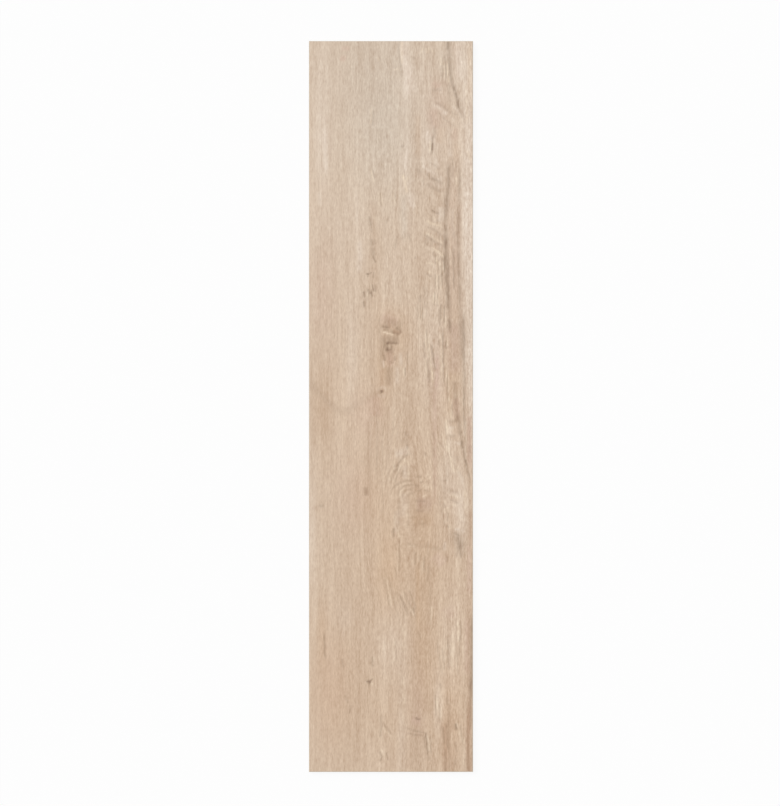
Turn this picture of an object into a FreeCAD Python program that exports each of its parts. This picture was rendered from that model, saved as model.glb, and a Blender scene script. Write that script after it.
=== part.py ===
"""Wood-look porcelain plank tile, as a parametric document.

One dry-pressed, fired and rectified piece, lying face up as it is laid on a floor.
Millimetres. The origin is at the centre of the back, on the plane of the ribs that stand on the floor.
+X runs across the plank, +Y along it and +Z out of the printed face.
"""

import FreeCAD, Part
import os

import Sketcher

# Driving dimensions: alias, value in millimetres or degrees, and what it measures on the tile.
DRIVING_SIZES = [
    ("plank_width", 202.0, "face width between the two ground long edges"),
    ("plank_length", 900.0, "face length between the two ground ends"),
    ("plank_thickness", 10.0, "from the back ribs to the face"),
    ("arris", 0.7, "leg of the 45 degree bevel ground along the face's four edges"),
    ("back_rim", 9.0, "least width of the plain rim round the back"),
    ("back_rib", 4.0, "width of the ribs between the cells pressed into the back"),
    ("back_cell", 22.0, "side of one square cell at its mouth"),
    ("back_cell_depth", 0.8, "depth of the cells that the adhesive keys into"),
    ("back_cell_draft", 30.0, "lean of the cell walls, so that the punch leaves the clay"),
]

# Formulas for the layout of the back: the step from cell to cell, and the grid centred inside the rim.
CELL_PITCH = "(sizes.back_cell + sizes.back_rib)"


def cell_count(side):
    """How many cells fit along a side of the tile with the rim kept clear."""
    return f"floor((sizes.{side} - 2 * sizes.back_rim + sizes.back_rib) / {CELL_PITCH})"


def grid_extent(side):
    """From the first cell of a row to the same point of its last cell."""
    return f"({cell_count(side)} - 1) * {CELL_PITCH}"


def first_cell_reach(side):
    """From the tile's centre out to the far wall of a row's first cell."""
    return f"({grid_extent(side)} + sizes.back_cell) / 2"


def add_sizes(doc):
    """The spreadsheet of driving dimensions, one named cell for each."""
    sheet = doc.addObject("Spreadsheet::Sheet", "sizes")
    for row, (alias, value, meaning) in enumerate(DRIVING_SIZES, start=1):
        sheet.set(f"A{row}", alias)
        sheet.set(f"B{row}", str(value))
        sheet.setAlias(f"B{row}", alias)
        sheet.set(f"C{row}", meaning)
    doc.recompute()
    return sheet


def sketch_on_back(body, name):
    """An empty sketch on the plane of the back."""
    back_plane = next(plane for plane in body.Origin.OriginFeatures if plane.Role == "XY_Plane")
    sketch = body.newObject("Sketcher::SketchObject", name)
    sketch.AttachmentSupport = (back_plane, [""])
    sketch.MapMode = "FlatFace"
    return sketch


def draw_rectangle(sketch, width, height, reach_left, reach_down):
    """A rectangle from formulas: its sides, and its first corner's reach left of and below the origin."""
    # It starts as a rough sketch beside the origin, and the constraints give it its true size and place.
    left, right, low, high = -2.0, -1.0, -1.0, 1.0
    rough_outline = [(left, low), (right, low), (right, high), (left, high)]
    corners = [FreeCAD.Vector(x, y, 0) for x, y in rough_outline]
    sides = range(len(corners))
    for side in sides:
        sketch.addGeometry(Part.LineSegment(corners[side - 1], corners[side]))
    for side in sides:
        sketch.addConstraint(Sketcher.Constraint("Coincident", (side - 1) % len(corners), 2, side, 1))
        sketch.addConstraint(Sketcher.Constraint("Horizontal" if side % 2 else "Vertical", side))
    first_corner, second_corner, last_corner = (1, 1), (1, 2), (0, 1)
    origin = (-1, 1)
    dimensions = [
        ("width", "DistanceX", first_corner, second_corner, width),
        ("height", "DistanceY", first_corner, last_corner, height),
        ("reach_left", "DistanceX", first_corner, origin, reach_left),
        ("reach_down", "DistanceY", first_corner, origin, reach_down),
    ]
    rough_distance = 1.0
    for name, kind, start, end, formula in dimensions:
        index = sketch.addConstraint(Sketcher.Constraint(kind, *start, *end, rough_distance))
        sketch.renameConstraint(index, name)
        sketch.setExpression(f"Constraints.{name}", formula)


def press_blank(doc, body):
    """The pressed blank: the tile's outline raised to its thickness."""
    outline = sketch_on_back(body, "plank_outline")
    width, length = "sizes.plank_width", "sizes.plank_length"
    draw_rectangle(outline, width, length, f"{width} / 2", f"{length} / 2")
    blank = body.newObject("PartDesign::Pad", "blank")
    blank.Profile = outline
    blank.setExpression("Length", "sizes.plank_thickness")
    doc.recompute()
    return blank


def grind_arris(doc, body, blank):
    """The fine bevel that rectifying leaves along the face's four edges."""
    face_height = blank.Shape.BoundBox.ZMax
    tolerance = Part.Precision.confusion()
    rim_of_face = [
        f"Edge{number}"
        for number, edge in enumerate(blank.Shape.Edges, start=1)
        if all(abs(vertex.Z - face_height) < tolerance for vertex in edge.Vertexes)
    ]
    arris = body.newObject("PartDesign::Chamfer", "face_arris")
    arris.Base = (blank, rim_of_face)
    arris.setExpression("Size", "sizes.arris")
    doc.recompute()
    return arris


def press_back_cells(doc, body):
    """Drafted square cells in rows and columns; the ribs left between them stand on the floor."""
    mouth = sketch_on_back(body, "back_cell_mouth")
    draw_rectangle(
        mouth,
        "sizes.back_cell",
        "sizes.back_cell",
        first_cell_reach("plank_width"),
        first_cell_reach("plank_length"),
    )
    cell = body.newObject("PartDesign::Pocket", "back_cell")
    cell.Profile = mouth
    cell.Reversed = True
    cell.setExpression("Length", "sizes.back_cell_depth")
    cell.setExpression("TaperAngle", "-sizes.back_cell_draft")
    doc.recompute()

    grid = body.newObject("PartDesign::LinearPattern", "back_cell_grid")
    grid.Originals = [cell]
    grid.Refine = False
    grid.Direction = (mouth, ["H_Axis"])
    grid.setExpression("Length", grid_extent("plank_width"))
    grid.setExpression("Occurrences", cell_count("plank_width"))
    grid.Direction2 = (mouth, ["V_Axis"])
    grid.setExpression("Length2", grid_extent("plank_length"))
    grid.setExpression("Occurrences2", cell_count("plank_length"))
    body.Tip = grid
    doc.recompute()
    return grid


def check(doc, tile, blank, arris):
    """Stops before anything is written if a feature failed or cut nothing, or the tile isn't one solid."""
    failed = [item.Name for item in doc.Objects if {"Invalid", "Error"} & set(item.State)]
    if failed:
        raise RuntimeError(f"failed features: {failed}")
    if tile.Shape.isNull() or not tile.Shape.isValid() or len(tile.Shape.Solids) != 1:
        raise RuntimeError(f"{tile.Label} is not one valid solid")
    if not tile.Shape.Volume < arris.Shape.Volume < blank.Shape.Volume:
        raise RuntimeError("the arris or the back cells cut nothing")


def main():
    doc = FreeCAD.newDocument("plank_tile_model")
    add_sizes(doc)
    tile = doc.addObject("PartDesign::Body", "plank_tile")
    tile.Label = "plank_tile"
    blank = press_blank(doc, tile)
    arris = grind_arris(doc, tile, blank)
    press_back_cells(doc, tile)
    check(doc, tile, blank, arris)

    os.makedirs("parts", exist_ok=True)
    tile.Shape.exportStep(os.path.join("parts", f"{tile.Label}.step"))
    print(f"{tile.Label}: {tile.Shape.BoundBox}, {tile.Shape.Volume:.0f} mm3")


main()
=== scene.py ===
"""Wood-look porcelain plank tile: one pressed, printed, fired and ground piece, lying face up."""

import bmesh
import bpy
import numpy as np
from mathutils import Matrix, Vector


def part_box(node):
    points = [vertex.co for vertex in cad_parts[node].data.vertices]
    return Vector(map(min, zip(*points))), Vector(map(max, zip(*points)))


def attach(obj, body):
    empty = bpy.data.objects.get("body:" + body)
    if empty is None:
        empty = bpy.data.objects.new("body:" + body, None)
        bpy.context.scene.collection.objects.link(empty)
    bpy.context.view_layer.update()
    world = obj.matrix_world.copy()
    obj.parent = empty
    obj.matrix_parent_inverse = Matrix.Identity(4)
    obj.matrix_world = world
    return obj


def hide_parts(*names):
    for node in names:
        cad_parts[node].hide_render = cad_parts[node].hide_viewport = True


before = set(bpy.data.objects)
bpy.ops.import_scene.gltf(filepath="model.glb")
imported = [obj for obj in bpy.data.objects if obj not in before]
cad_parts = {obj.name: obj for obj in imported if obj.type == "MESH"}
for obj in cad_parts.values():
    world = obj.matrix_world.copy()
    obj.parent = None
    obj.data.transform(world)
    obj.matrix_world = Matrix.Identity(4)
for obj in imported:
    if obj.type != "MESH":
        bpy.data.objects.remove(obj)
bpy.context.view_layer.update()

# The slab is dry-pressed porcelain stoneware, fired and then ground to size. The upper punch
# embosses the face, the grinder leaves square sides with a fine bevel, and the lower punch leaves
# the back with cells that key into the adhesive.
MM = 0.001
WELD = 0.01 * MM  # points nearer than this become one
ARRIS = 0.7 * MM  # the bevel's width and height
FACE_COLUMNS, FACE_ROWS = 150, 600  # cells of 1.3 by 1.5 mm
HALF_SIDE = 0.5  # of a grid one unit square, which is then scaled to the face
GLAZE, BODY = 0, 1  # places in the piece's list of materials

slab_low, slab_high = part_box("plank_tile")
width, length, thickness = slab_high - slab_low

slab = bmesh.new()
slab.from_mesh(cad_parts["plank_tile"].data)
bmesh.ops.remove_doubles(slab, verts=slab.verts, dist=WELD)
above_the_back = [cell for cell in slab.faces if max(corner.co.z for corner in cell.verts) > thickness / 2]
bmesh.ops.delete(slab, geom=above_the_back, context="FACES")
for side in [edge for edge in slab.edges if edge.is_boundary]:
    run = side.verts[1].co - side.verts[0].co
    segments = FACE_ROWS if abs(run.y) > abs(run.x) else FACE_COLUMNS
    bmesh.ops.subdivide_edges(slab, edges=[side], cuts=segments - 1)
for cell in slab.faces:
    cell.material_index = BODY
    cell.smooth = False

face_grid = bmesh.ops.create_grid(
    slab, x_segments=FACE_COLUMNS, y_segments=FACE_ROWS, size=HALF_SIDE
)["verts"]
face_width, face_length = width - 2 * ARRIS, length - 2 * ARRIS
bmesh.ops.scale(slab, vec=(face_width, face_length, 1), verts=face_grid)
bmesh.ops.translate(slab, vec=(0, 0, thickness), verts=face_grid)
for cell in {cell for corner in face_grid for cell in corner.link_faces}:
    cell.material_index = GLAZE
    cell.smooth = True

# The bevel, and then the ground side, go down from the rim of the face.
rim = list({edge for corner in face_grid for edge in corner.link_edges if edge.is_boundary})
steps_down = [
    (width / face_width, length / face_length, ARRIS),
    (1, 1, thickness - ARRIS),
]
for grow_across, grow_along, drop in steps_down:
    made = bmesh.ops.extrude_edge_only(slab, edges=rim)["geom"]
    ring = [part for part in made if isinstance(part, bmesh.types.BMVert)]
    bmesh.ops.scale(slab, vec=(grow_across, grow_along, 1), verts=ring)
    bmesh.ops.translate(slab, vec=(0, 0, -drop), verts=ring)
    for cell in (part for part in made if isinstance(part, bmesh.types.BMFace)):
        cell.material_index = BODY
        cell.smooth = False
    rim = [part for part in made if isinstance(part, bmesh.types.BMEdge) and part.is_boundary]
bmesh.ops.remove_doubles(slab, verts=slab.verts, dist=WELD)
bmesh.ops.recalc_face_normals(slab, faces=slab.faces)

tile_mesh = bpy.data.meshes.new("plank_tile_dressed")
slab.to_mesh(tile_mesh)
slab.free()
tile = bpy.data.objects.new("plank_tile_dressed", tile_mesh)
scene = bpy.context.scene
scene.collection.objects.link(tile)

points = np.empty(len(tile_mesh.vertices) * 3)
tile_mesh.vertices.foreach_get("co", points)
points = points.reshape(-1, 3)


def strip(place, low, high):
    """A place from -0.5 to 0.5 across the slab, as one from low to high on the map."""
    return low + (high - low) * (place + 0.5)


# The map for textures spends most of its square on the face. The back and the four sides lie beside it.
FACE_STRIP, BACK_STRIP = (0.005, 0.80), (0.81, 0.95)
LEFT_STRIP, RIGHT_STRIP, END_STRIP = (0.958, 0.968), (0.973, 0.983), (0.988, 0.998)
WHOLE_HEIGHT, LOWER_HALF, UPPER_HALF = (0.005, 0.995), (0.005, 0.495), (0.505, 0.995)
FACING_UP, FACING_DOWN = 0.9, -0.1  # z of a normal: the bevel is a side, and a cell's walls are the back
normals = np.empty(len(tile_mesh.polygons) * 3)
tile_mesh.polygons.foreach_get("normal", normals)
corners_per_cell = np.empty(len(tile_mesh.polygons), int)
tile_mesh.polygons.foreach_get("loop_total", corners_per_cell)
out_x, out_y, out_z = np.repeat(normals.reshape(-1, 3), corners_per_cell, axis=0).T
corner_points = np.empty(len(tile_mesh.loops), int)
tile_mesh.loops.foreach_get("vertex_index", corner_points)
across, along, up = (points[corner_points] / (width, length, thickness)).T
up = up - 0.5  # from the middle, as the other two are
on_end = np.abs(out_y) > np.abs(out_x)
# The face, the back, the left side and the right one. What is left over then is the two ends.
kinds = [out_z > FACING_UP, out_z < FACING_DOWN, ~on_end & (out_x < 0), ~on_end]
map_u = np.select(
    kinds,
    [strip(across, *FACE_STRIP), strip(across, *BACK_STRIP), strip(up, *LEFT_STRIP), strip(up, *RIGHT_STRIP)],
    strip(up, *END_STRIP),
)
map_v = np.select(
    [*kinds, out_y < 0],
    [strip(along, *WHOLE_HEIGHT)] * len(kinds) + [strip(across, *LOWER_HALF)],
    strip(across, *UPPER_HALF),
)
texture_map = tile_mesh.uv_layers.new(name="OFBake")
texture_map.uv.foreach_set("vector", np.stack([map_u, map_v], -1).astype(np.float32).ravel())

# The figure of the oak is printed on the glaze with seven inks, and the punch embosses the same grain.
# Each ink's amount is worked out here for every point of the face, in millimetres of the tile's frame.
x, y = points[:, 0] / MM, points[:, 1] / MM


def smooth_step(t):
    """From 0 to 1 with soft ends."""
    t = np.clip(t, 0.0, 1.0)
    return t * t * (3.0 - 2.0 * t)


def waves(across, along, seed):
    """Smooth random waves from -1 to 1, about one to a unit each way, the same on every run."""
    size = 512
    lattice = np.random.default_rng(seed).uniform(-1.0, 1.0, (size, size))
    column, row = np.floor(across).astype(int), np.floor(along).astype(int)
    right, up = smooth_step(across - column), smooth_step(along - row)
    column, row = column % size, row % size
    next_column, next_row = (column + 1) % size, (row + 1) % size
    lower = lattice[row, column] * (1 - right) + lattice[row, next_column] * right
    upper = lattice[next_row, column] * (1 - right) + lattice[next_row, next_column] * right
    return lower * (1 - up) + upper * up


def oval(centre_x, centre_y, half_x, half_y):
    """1 at the centre of a soft oval, fading to 0 outside it."""
    return np.exp(-(((x - centre_x) / half_x) ** 2) - ((y - centre_y) / half_y) ** 2)


# The fibres run along the plank and sway a little: how far, and the width and length of a sway.
SWAYS = [
    (2.0, 80, 110),
    (0.6, 25, 35),
]
FIRST_SWAY_SEED = 1
fibre_line = x
for seed, (sway, sway_width, sway_length) in enumerate(SWAYS, start=FIRST_SWAY_SEED):
    fibre_line = fibre_line + sway * waves(x / sway_width, y / sway_length, seed)

# Knots part the fibres: centre, how far they push them aside, and the half width and length of the bow.
KNOTS = [
    (0.0, 80.0, 5.0, 8.0, 32.0),
    (-10.7, 18.0, 2.0, 3.0, 9.0),
    (20.0, -130.0, 15.0, 20.0, 85.0),
    (-26.5, -339.0, 1.5, 3.0, 8.0),
]
KNOT_REACH = 2.5  # half widths over which the bow dies away
for knot_x, knot_y, push, half_width, half_length in KNOTS:
    bow = np.tanh((x - knot_x) / half_width) * oval(knot_x, knot_y, KNOT_REACH * half_width, half_length)
    fibre_line = fibre_line - push * bow

inks = {name: np.zeros_like(x) for name in ("ash", "tan", "rose", "pale", "russet", "umber", "cream")}


def print_tones(ink, tones):
    """Adds soft ovals of one ink."""
    for amount, *place in tones:
        inks[ink] += amount * oval(*place)


# Broad tones of the wood: amount, centre, half width and half length.
print_tones("ash", [
    (0.55, -20, 420, 75, 150),
    (0.35, -5, 330, 35, 70),
    (0.3, 78, 430, 22, 40),
])
print_tones("pale", [
    (0.12, 50, 375, 12, 25),
    (0.12, 8, 155, 14, 45),
    (0.25, -88, 400, 14, 60),
    (0.45, -84, 325, 9, 48),
    (0.2, 18, 415, 9, 55),
    (0.35, 19, 305, 7, 45),
    (0.2, 24, 250, 7, 28),
    (0.4, 46, 318, 17, 38),
    (0.2, 34, 400, 14, 40),
    (0.15, -60, 215, 40, 50),
    (0.25, 51, 75, 15, 60),
    (0.5, 94, 380, 8, 90),
    (0.95, 94, 215, 6, 100),
    (0.45, 96, 60, 6, 60),
    (0.3, -47, 60, 9, 75),
    (0.35, -98, -140, 6, 80),
    (0.34, 71, -85, 13, 50),
    (0.36, 87, -130, 9, 45),
    (0.22, 72, -285, 14, 60),
    (0.27, 3, -295, 24, 48),
    (0.25, 14, -400, 6, 70),
    (0.3, 58, -370, 6, 40),
    (0.18, -58, -260, 10, 22),
])
print_tones("tan", [
    (0.33, 0, -120, 110, 260),
    (0.25, 0, -380, 120, 130),
    (0.22, 62, -250, 45, 220),
    (0.34, -3, -200, 19, 60),
    (0.15, -45, 0, 22, 60),
    (0.35, -75, -345, 26, 75),
    (0.2, -30, -110, 20, 38),
    (0.2, 38, -130, 14, 45),
    (0.15, 40, -200, 13, 45),
    (0.25, 35, -300, 11, 60),
    (0.25, 74, -400, 20, 70),
    (0.25, -85, 0, 14, 55),
    (0.18, -20, 180, 7, 60),
    (0.25, -85, -280, 6, 40),
    (0.15, 77, 150, 10, 140),
    (0.25, 76, 40, 12, 70),
    (0.25, 0, 108, 14, 16),
    (0.3, 11, 85, 14, 30),
    (0.4, -9, 50, 10, 48),
])
print_tones("rose", [
    (0.3, -85, 140, 16, 65),
    (0.3, 58, 368, 12, 32),
    (0.3, 56, 40, 10, 50),
    (0.3, -30, -10, 18, 30),
    (0.27, -47, -110, 22, 46),
    (0.2, -75, -345, 24, 70),
    (0.25, 32, -360, 12, 50),
    (0.3, 78, 190, 10, 100),
])
print_tones("russet", [
    (0.16, 70, -420, 9, 50),
    (0.12, 38, -118, 12, 16),
    (0.13, 27, -430, 17, 28),
])
print_tones("umber", [
    (0.06, 78, 170, 9, 110),
    (0.05, 2, 428, 8, 34),
    (0.05, 37, -140, 13, 30),
    (0.05, 36, -240, 13, 70),
    (0.06, 33, -330, 12, 40),
    (0.09, 32, -415, 12, 45),
])

FADE = 0.18  # share of a mark's length over which each end fades out
MARK_REACH = 2.5  # half widths past which a mark no longer shows
WAVER, WAVER_WIDTH, WAVER_LENGTH, WAVER_SEED = 0.5, 15, 7, 5
wavering_x = x + WAVER * waves(x / WAVER_WIDTH, y / WAVER_LENGTH, WAVER_SEED)


def print_marks(ink, marks):
    """Adds soft lines of one ink along their routes, full in the middle and fading towards both ends."""
    for amount, half_width, *route in marks:
        route = np.array(route, float)
        reach = MARK_REACH * half_width
        low, high = route.min(0) - reach, route.max(0) + reach
        near = np.flatnonzero((wavering_x > low[0]) & (wavering_x < high[0]) & (y > low[1]) & (y < high[1]))
        spots = np.stack([wavering_x[near], y[near]], -1)
        runs = np.diff(route, axis=0)
        run_lengths = np.hypot(runs[:, 0], runs[:, 1])
        passed = np.cumsum(run_lengths) - run_lengths
        nearest = np.full(len(near), np.inf)
        share = np.zeros(len(near))
        for start, run, run_length, before in zip(route, runs, run_lengths, passed):
            along_run = np.clip((spots - start) @ run / run_length**2, 0, 1)
            gap = np.linalg.norm(spots - start - along_run[:, None] * run, axis=1)
            closer = gap < nearest
            nearest[closer] = gap[closer]
            share[closer] = (before + along_run[closer] * run_length) / run_lengths.sum()
        ends = smooth_step(share / FADE) * smooth_step((1 - share) / FADE)
        inks[ink][near] += amount * ends * np.exp(-((nearest / half_width) ** 2))


# Marks of the figure, from the upper end to the lower: amount, half width, and the points that each follows.
# The right edge comes first.
print_marks("pale", [
    (0.45, 2.6, (99.6, 410), (99.6, 150), (99.6, -110)),
])
print_marks("umber", [
    (0.26, 1.6, (100.8, -330), (100.8, -420), (100.8, -510)),
])

# The upper end.
print_marks("pale", [
    (0.8, 1.7, (13.4, 462), (12.8, 440), (13.2, 430), (15.2, 422), (18.4, 412)),
    (0.65, 4.4, (17, 490), (17.4, 430), (20, 405), (20.5, 372)),
    (0.35, 4.4, (18, 428), (25, 408), (31, 384)),
    (0.4, 4.5, (84, 454), (84.5, 425), (86, 398)),
    (0.4, 1, (55.5, 391.6), (64, 391)),
    (0.35, 1, (58, 387.8), (64, 385.6)),
    (0.45, 1.4, (50, 373), (58, 368.4), (64, 364), (70, 358)),
    (0.4, 2.2, (63, 363), (69, 358.6)),
    (0.4, 1.2, (70, 357.6), (80, 351.4)),
    (0.4, 1.1, (74, 372), (80, 366), (86, 358)),
])
print_marks("cream", [
    (0.42, 1.3, (13.2, 452), (12.8, 436), (13.6, 420)),
    (0.3, 1, (2, 414), (10, 416)),
    (0.45, 0.9, (61.4, 430), (61.8, 419)),
    (0.4, 0.9, (64.6, 429), (65.2, 416), (65.8, 403)),
    (0.5, 1, (68.6, 427), (69.6, 412), (72, 396)),
    (0.35, 0.8, (38.8, 442), (36.8, 435)),
    (0.4, 0.8, (41.8, 442), (44, 434)),
    (0.4, 0.8, (46.8, 443), (45.8, 434)),
    (0.35, 0.8, (49.6, 442), (51.2, 435)),
    (0.3, 1.2, (97, 450), (97, 415), (96.4, 370)),
    (0.35, 1, (92.5, 400), (93, 372), (93.5, 345)),
    (0.36, 0.9, (-24, 369), (-24.6, 346)),
    (0.35, 0.9, (-17, 431), (-14, 425)),
])
print_marks("umber", [
    (0.2, 1.4, (10, 452), (9.8, 434), (12, 418), (14, 402)),
    (0.2, 2.6, (70.6, 470), (71, 440), (72, 420), (74.6, 404), (78, 392), (81.4, 380), (84.4, 368),
     (88.6, 352)),
    (0.26, 1.5, (69.8, 456), (70.2, 446), (70.6, 438)),
    (0.14, 1.3, (71.6, 430), (72.4, 416), (73.4, 405)),
    (0.18, 1.7, (73.4, 410), (76, 397), (79.2, 386), (82, 376), (84, 362)),
    (0.22, 1.1, (76.2, 394.6), (78.2, 387.6)),
    (0.18, 1.1, (79.2, 387), (81.2, 379)),
    (0.24, 1.1, (82.2, 379), (83.6, 366)),
    (0.16, 1.3, (84.6, 368), (87.4, 355)),
    (0.34, 1, (65.8, 435), (67, 420), (68, 402)),
    (0.26, 0.9, (62.8, 431), (63.4, 418), (63.6, 400)),
    (0.2, 1.2, (62, 409), (64.4, 405)),
    (0.14, 0.8, (40, 441), (41.8, 434)),
    (0.14, 0.8, (48, 441), (49, 434)),
    (0.16, 1.6, (26, 429.8), (30.4, 428.4)),
    (0.14, 1.8, (71, 401), (71.6, 385), (73, 370)),
    (0.18, 1.3, (56, 392), (62, 388.6)),
    (0.18, 2, (50.6, 391), (57, 388.6)),
    (0.2, 1.8, (53, 375.6), (63, 369.6), (73, 362.4)),
    (0.22, 1.1, (58.4, 363), (63, 357.6), (67.4, 352)),
    (0.2, 1.1, (72, 363), (77, 360.6), (83, 357.8)),
    (0.16, 1, (66, 353), (72, 349.6), (78, 345)),
    (0.16, 0.9, (86, 380), (88.4, 366), (90.4, 350)),
    (0.2, 0.9, (50, 361), (49.8, 344)),
    (0.26, 0.9, (-21.4, 366), (-22.6, 344)),
    (0.2, 0.9, (-14, 432), (-12, 426)),
])
print_marks("rose", [
    (0.25, 4.5, (80, 452), (81.5, 425), (83.5, 400)),
    (0.45, 4.5, (50, 399), (62, 393)),
    (0.45, 6, (50, 368), (53, 340)),
    (0.6, 3.5, (-63, 430), (-55, 427)),
    (0.5, 3, (-62, 441), (-50, 441)),
])
print_marks("russet", [
    (0.2, 3, (60, 402), (65, 399), (71, 394)),
    (0.07, 4.5, (49, 363), (52, 343)),
])
print_marks("tan", [
    (0.45, 1.3, (95, 446), (95.2, 410), (95, 378)),
])

# The upper quarter.
print_marks("umber", [
    (0.2, 2, (53.6, 347), (53.4, 338), (52, 329)),
    (0.46, 1.1, (51.4, 334), (50.8, 321), (49.8, 309)),
    (0.4, 1.4, (51, 325), (50.2, 314)),
    (0.26, 2.2, (12.5, 322), (16.5, 319.5)),
    (0.16, 3.4, (71.5, 308), (71, 280), (69.6, 255), (68, 230)),
    (0.26, 1.6, (70.4, 300), (71.2, 278), (70, 256)),
    (0.28, 2.8, (69, 266), (67.8, 234), (67.6, 212), (67.8, 190)),
    (0.3, 1.4, (67.2, 225), (67.2, 215)),
    (0.4, 2.9, (67.2, 214), (68.2, 180), (69, 160), (70, 140), (71, 114)),
    (0.2, 1.2, (66.6, 192), (67.2, 170), (67.8, 148)),
    (0.22, 1.2, (70.4, 186), (70.8, 160), (71, 126)),
    (0.2, 3.2, (70.2, 132), (71.6, 112), (72.4, 86)),
    (0.26, 1.3, (71.2, 109), (73, 95)),
    (0.16, 3.4, (84.6, 316), (84.6, 280), (83.8, 245), (83.6, 200), (84.2, 160), (85, 110), (86, 46)),
    (0.18, 1.3, (85, 296), (84.8, 276), (84, 256)),
    (0.16, 1.5, (83.6, 248), (83, 228), (82.2, 210), (82.4, 192)),
    (0.2, 1.6, (82.8, 192), (83.4, 176), (83.8, 156)),
    (0.16, 1.5, (84.4, 152), (84.8, 126)),
    (0.2, 1.1, (77.2, 216), (77, 202)),
    (0.34, 1.3, (76.6, 202), (76.8, 182), (77.4, 166), (77.6, 140)),
    (0.18, 1, (76, 308), (76.3, 280)),
    (0.14, 0.9, (80.2, 304), (80, 282)),
    (0.24, 1.8, (42, 288), (51, 280.6), (57, 278), (66, 273)),
    (0.16, 2.2, (49.4, 281), (56, 278)),
    (0.2, 1.8, (42, 275), (53, 268.6), (64, 263.4)),
    (0.18, 1.1, (46, 301), (54, 297), (62, 291)),
    (0.16, 2.4, (30.6, 293), (37.6, 287)),
    (0.16, 1, (55.6, 277.4), (56.4, 269)),
    (0.14, 1, (39.8, 281), (40, 270)),
    (0.5, 1.3, (49.4, 241.8), (54.6, 239.4)),
    (0.32, 1.2, (52.4, 239.8), (59.8, 237)),
    (0.24, 1.2, (49.4, 235), (51.2, 227)),
    (0.22, 1.1, (55.4, 230.6), (60, 227.4)),
    (0.24, 0.9, (-23, 293), (-19.4, 279)),
    (0.18, 0.8, (-14, 264), (-11, 245)),
    (0.18, 0.8, (4.2, 264), (7.6, 248)),
    (0.28, 1.8, (-27.4, 235), (-23.8, 222)),
    (0.2, 1.2, (-25.6, 226), (-23.4, 214)),
    (0.18, 1, (-2, 235), (-6, 224)),
    (0.22, 1, (10, 214), (6.4, 204), (5, 193)),
    (0.24, 1.2, (22, 214), (24.2, 202)),
])
print_marks("cream", [
    (0.55, 0.9, (48.8, 330), (48.4, 321), (47.6, 312)),
    (0.4, 0.9, (92.6, 317), (96, 309), (99, 301)),
    (0.62, 1.5, (13.4, 287), (17, 275), (21, 261)),
    (0.4, 1, (21, 284), (18.5, 275)),
    (0.4, 0.8, (80.6, 290), (80.5, 269)),
    (0.34, 0.9, (79, 246), (79, 215)),
    (0.24, 0.8, (73.4, 202), (74, 170)),
    (0.4, 1.2, (52.8, 235), (54.8, 227.6)),
    (0.3, 1, (45, 235.6), (49, 232.6)),
    (0.45, 1.2, (42.6, 231), (49, 225.4), (55, 224), (63, 222)),
    (0.4, 0.9, (-25.4, 294), (-23, 284), (-20.6, 274)),
    (0.32, 0.8, (-15.8, 264), (-13.8, 247)),
    (0.36, 0.8, (-12.5, 264), (-9, 246)),
    (0.34, 0.8, (2.5, 264), (6, 248)),
    (0.26, 1, (-22, 237), (-17.8, 225)),
    (0.3, 0.9, (31.6, 249), (32.4, 236)),
])
print_marks("pale", [
    (0.65, 3.2, (43.6, 341), (46, 331), (47.4, 322)),
    (0.4, 3, (72, 348), (72.5, 325), (72, 303)),
    (0.4, 1.4, (69.6, 310.6), (76, 309.4)),
    (0.45, 2.5, (18, 316), (18.5, 300), (16, 288)),
    (0.35, 2, (21, 262), (25, 250), (29, 242)),
    (0.35, 3.5, (26, 265), (26, 244)),
    (0.3, 2.6, (-81, 350), (-80.6, 315), (-80, 280)),
    (0.35, 2.4, (-89, 266), (-88, 246)),
    (0.55, 1.8, (36, 298), (46, 291), (55, 285.4), (66, 279.6)),
    (0.4, 1.7, (44, 279), (55, 273), (66, 267.4)),
    (0.35, 1.3, (52.6, 304.4), (61.6, 295)),
    (0.45, 3, (57.6, 282), (61, 270)),
    (0.45, 4.5, (61, 247), (61, 226)),
    (0.35, 1.2, (-42, 266), (-42.2, 245), (-42, 223)),
])
print_marks("tan", [
    (0.3, 4.5, (60.5, 344), (60.5, 323)),
    (0.15, 4.5, (80.5, 325), (80, 302)),
    (0.3, 3.2, (33.5, 364), (33.5, 340), (34.5, 302)),
])
print_marks("rose", [
    (0.35, 4.5, (79, 344), (79, 326)),
])
print_marks("ash", [
    (0.45, 4.5, (16, 266), (15.5, 235), (17, 200)),
    (0.4, 2.5, (76.5, 248), (76.5, 206)),
])
print_marks("russet", [
    (0.2, 2, (83.6, 252), (83.2, 228), (82.4, 202)),
])

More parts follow.
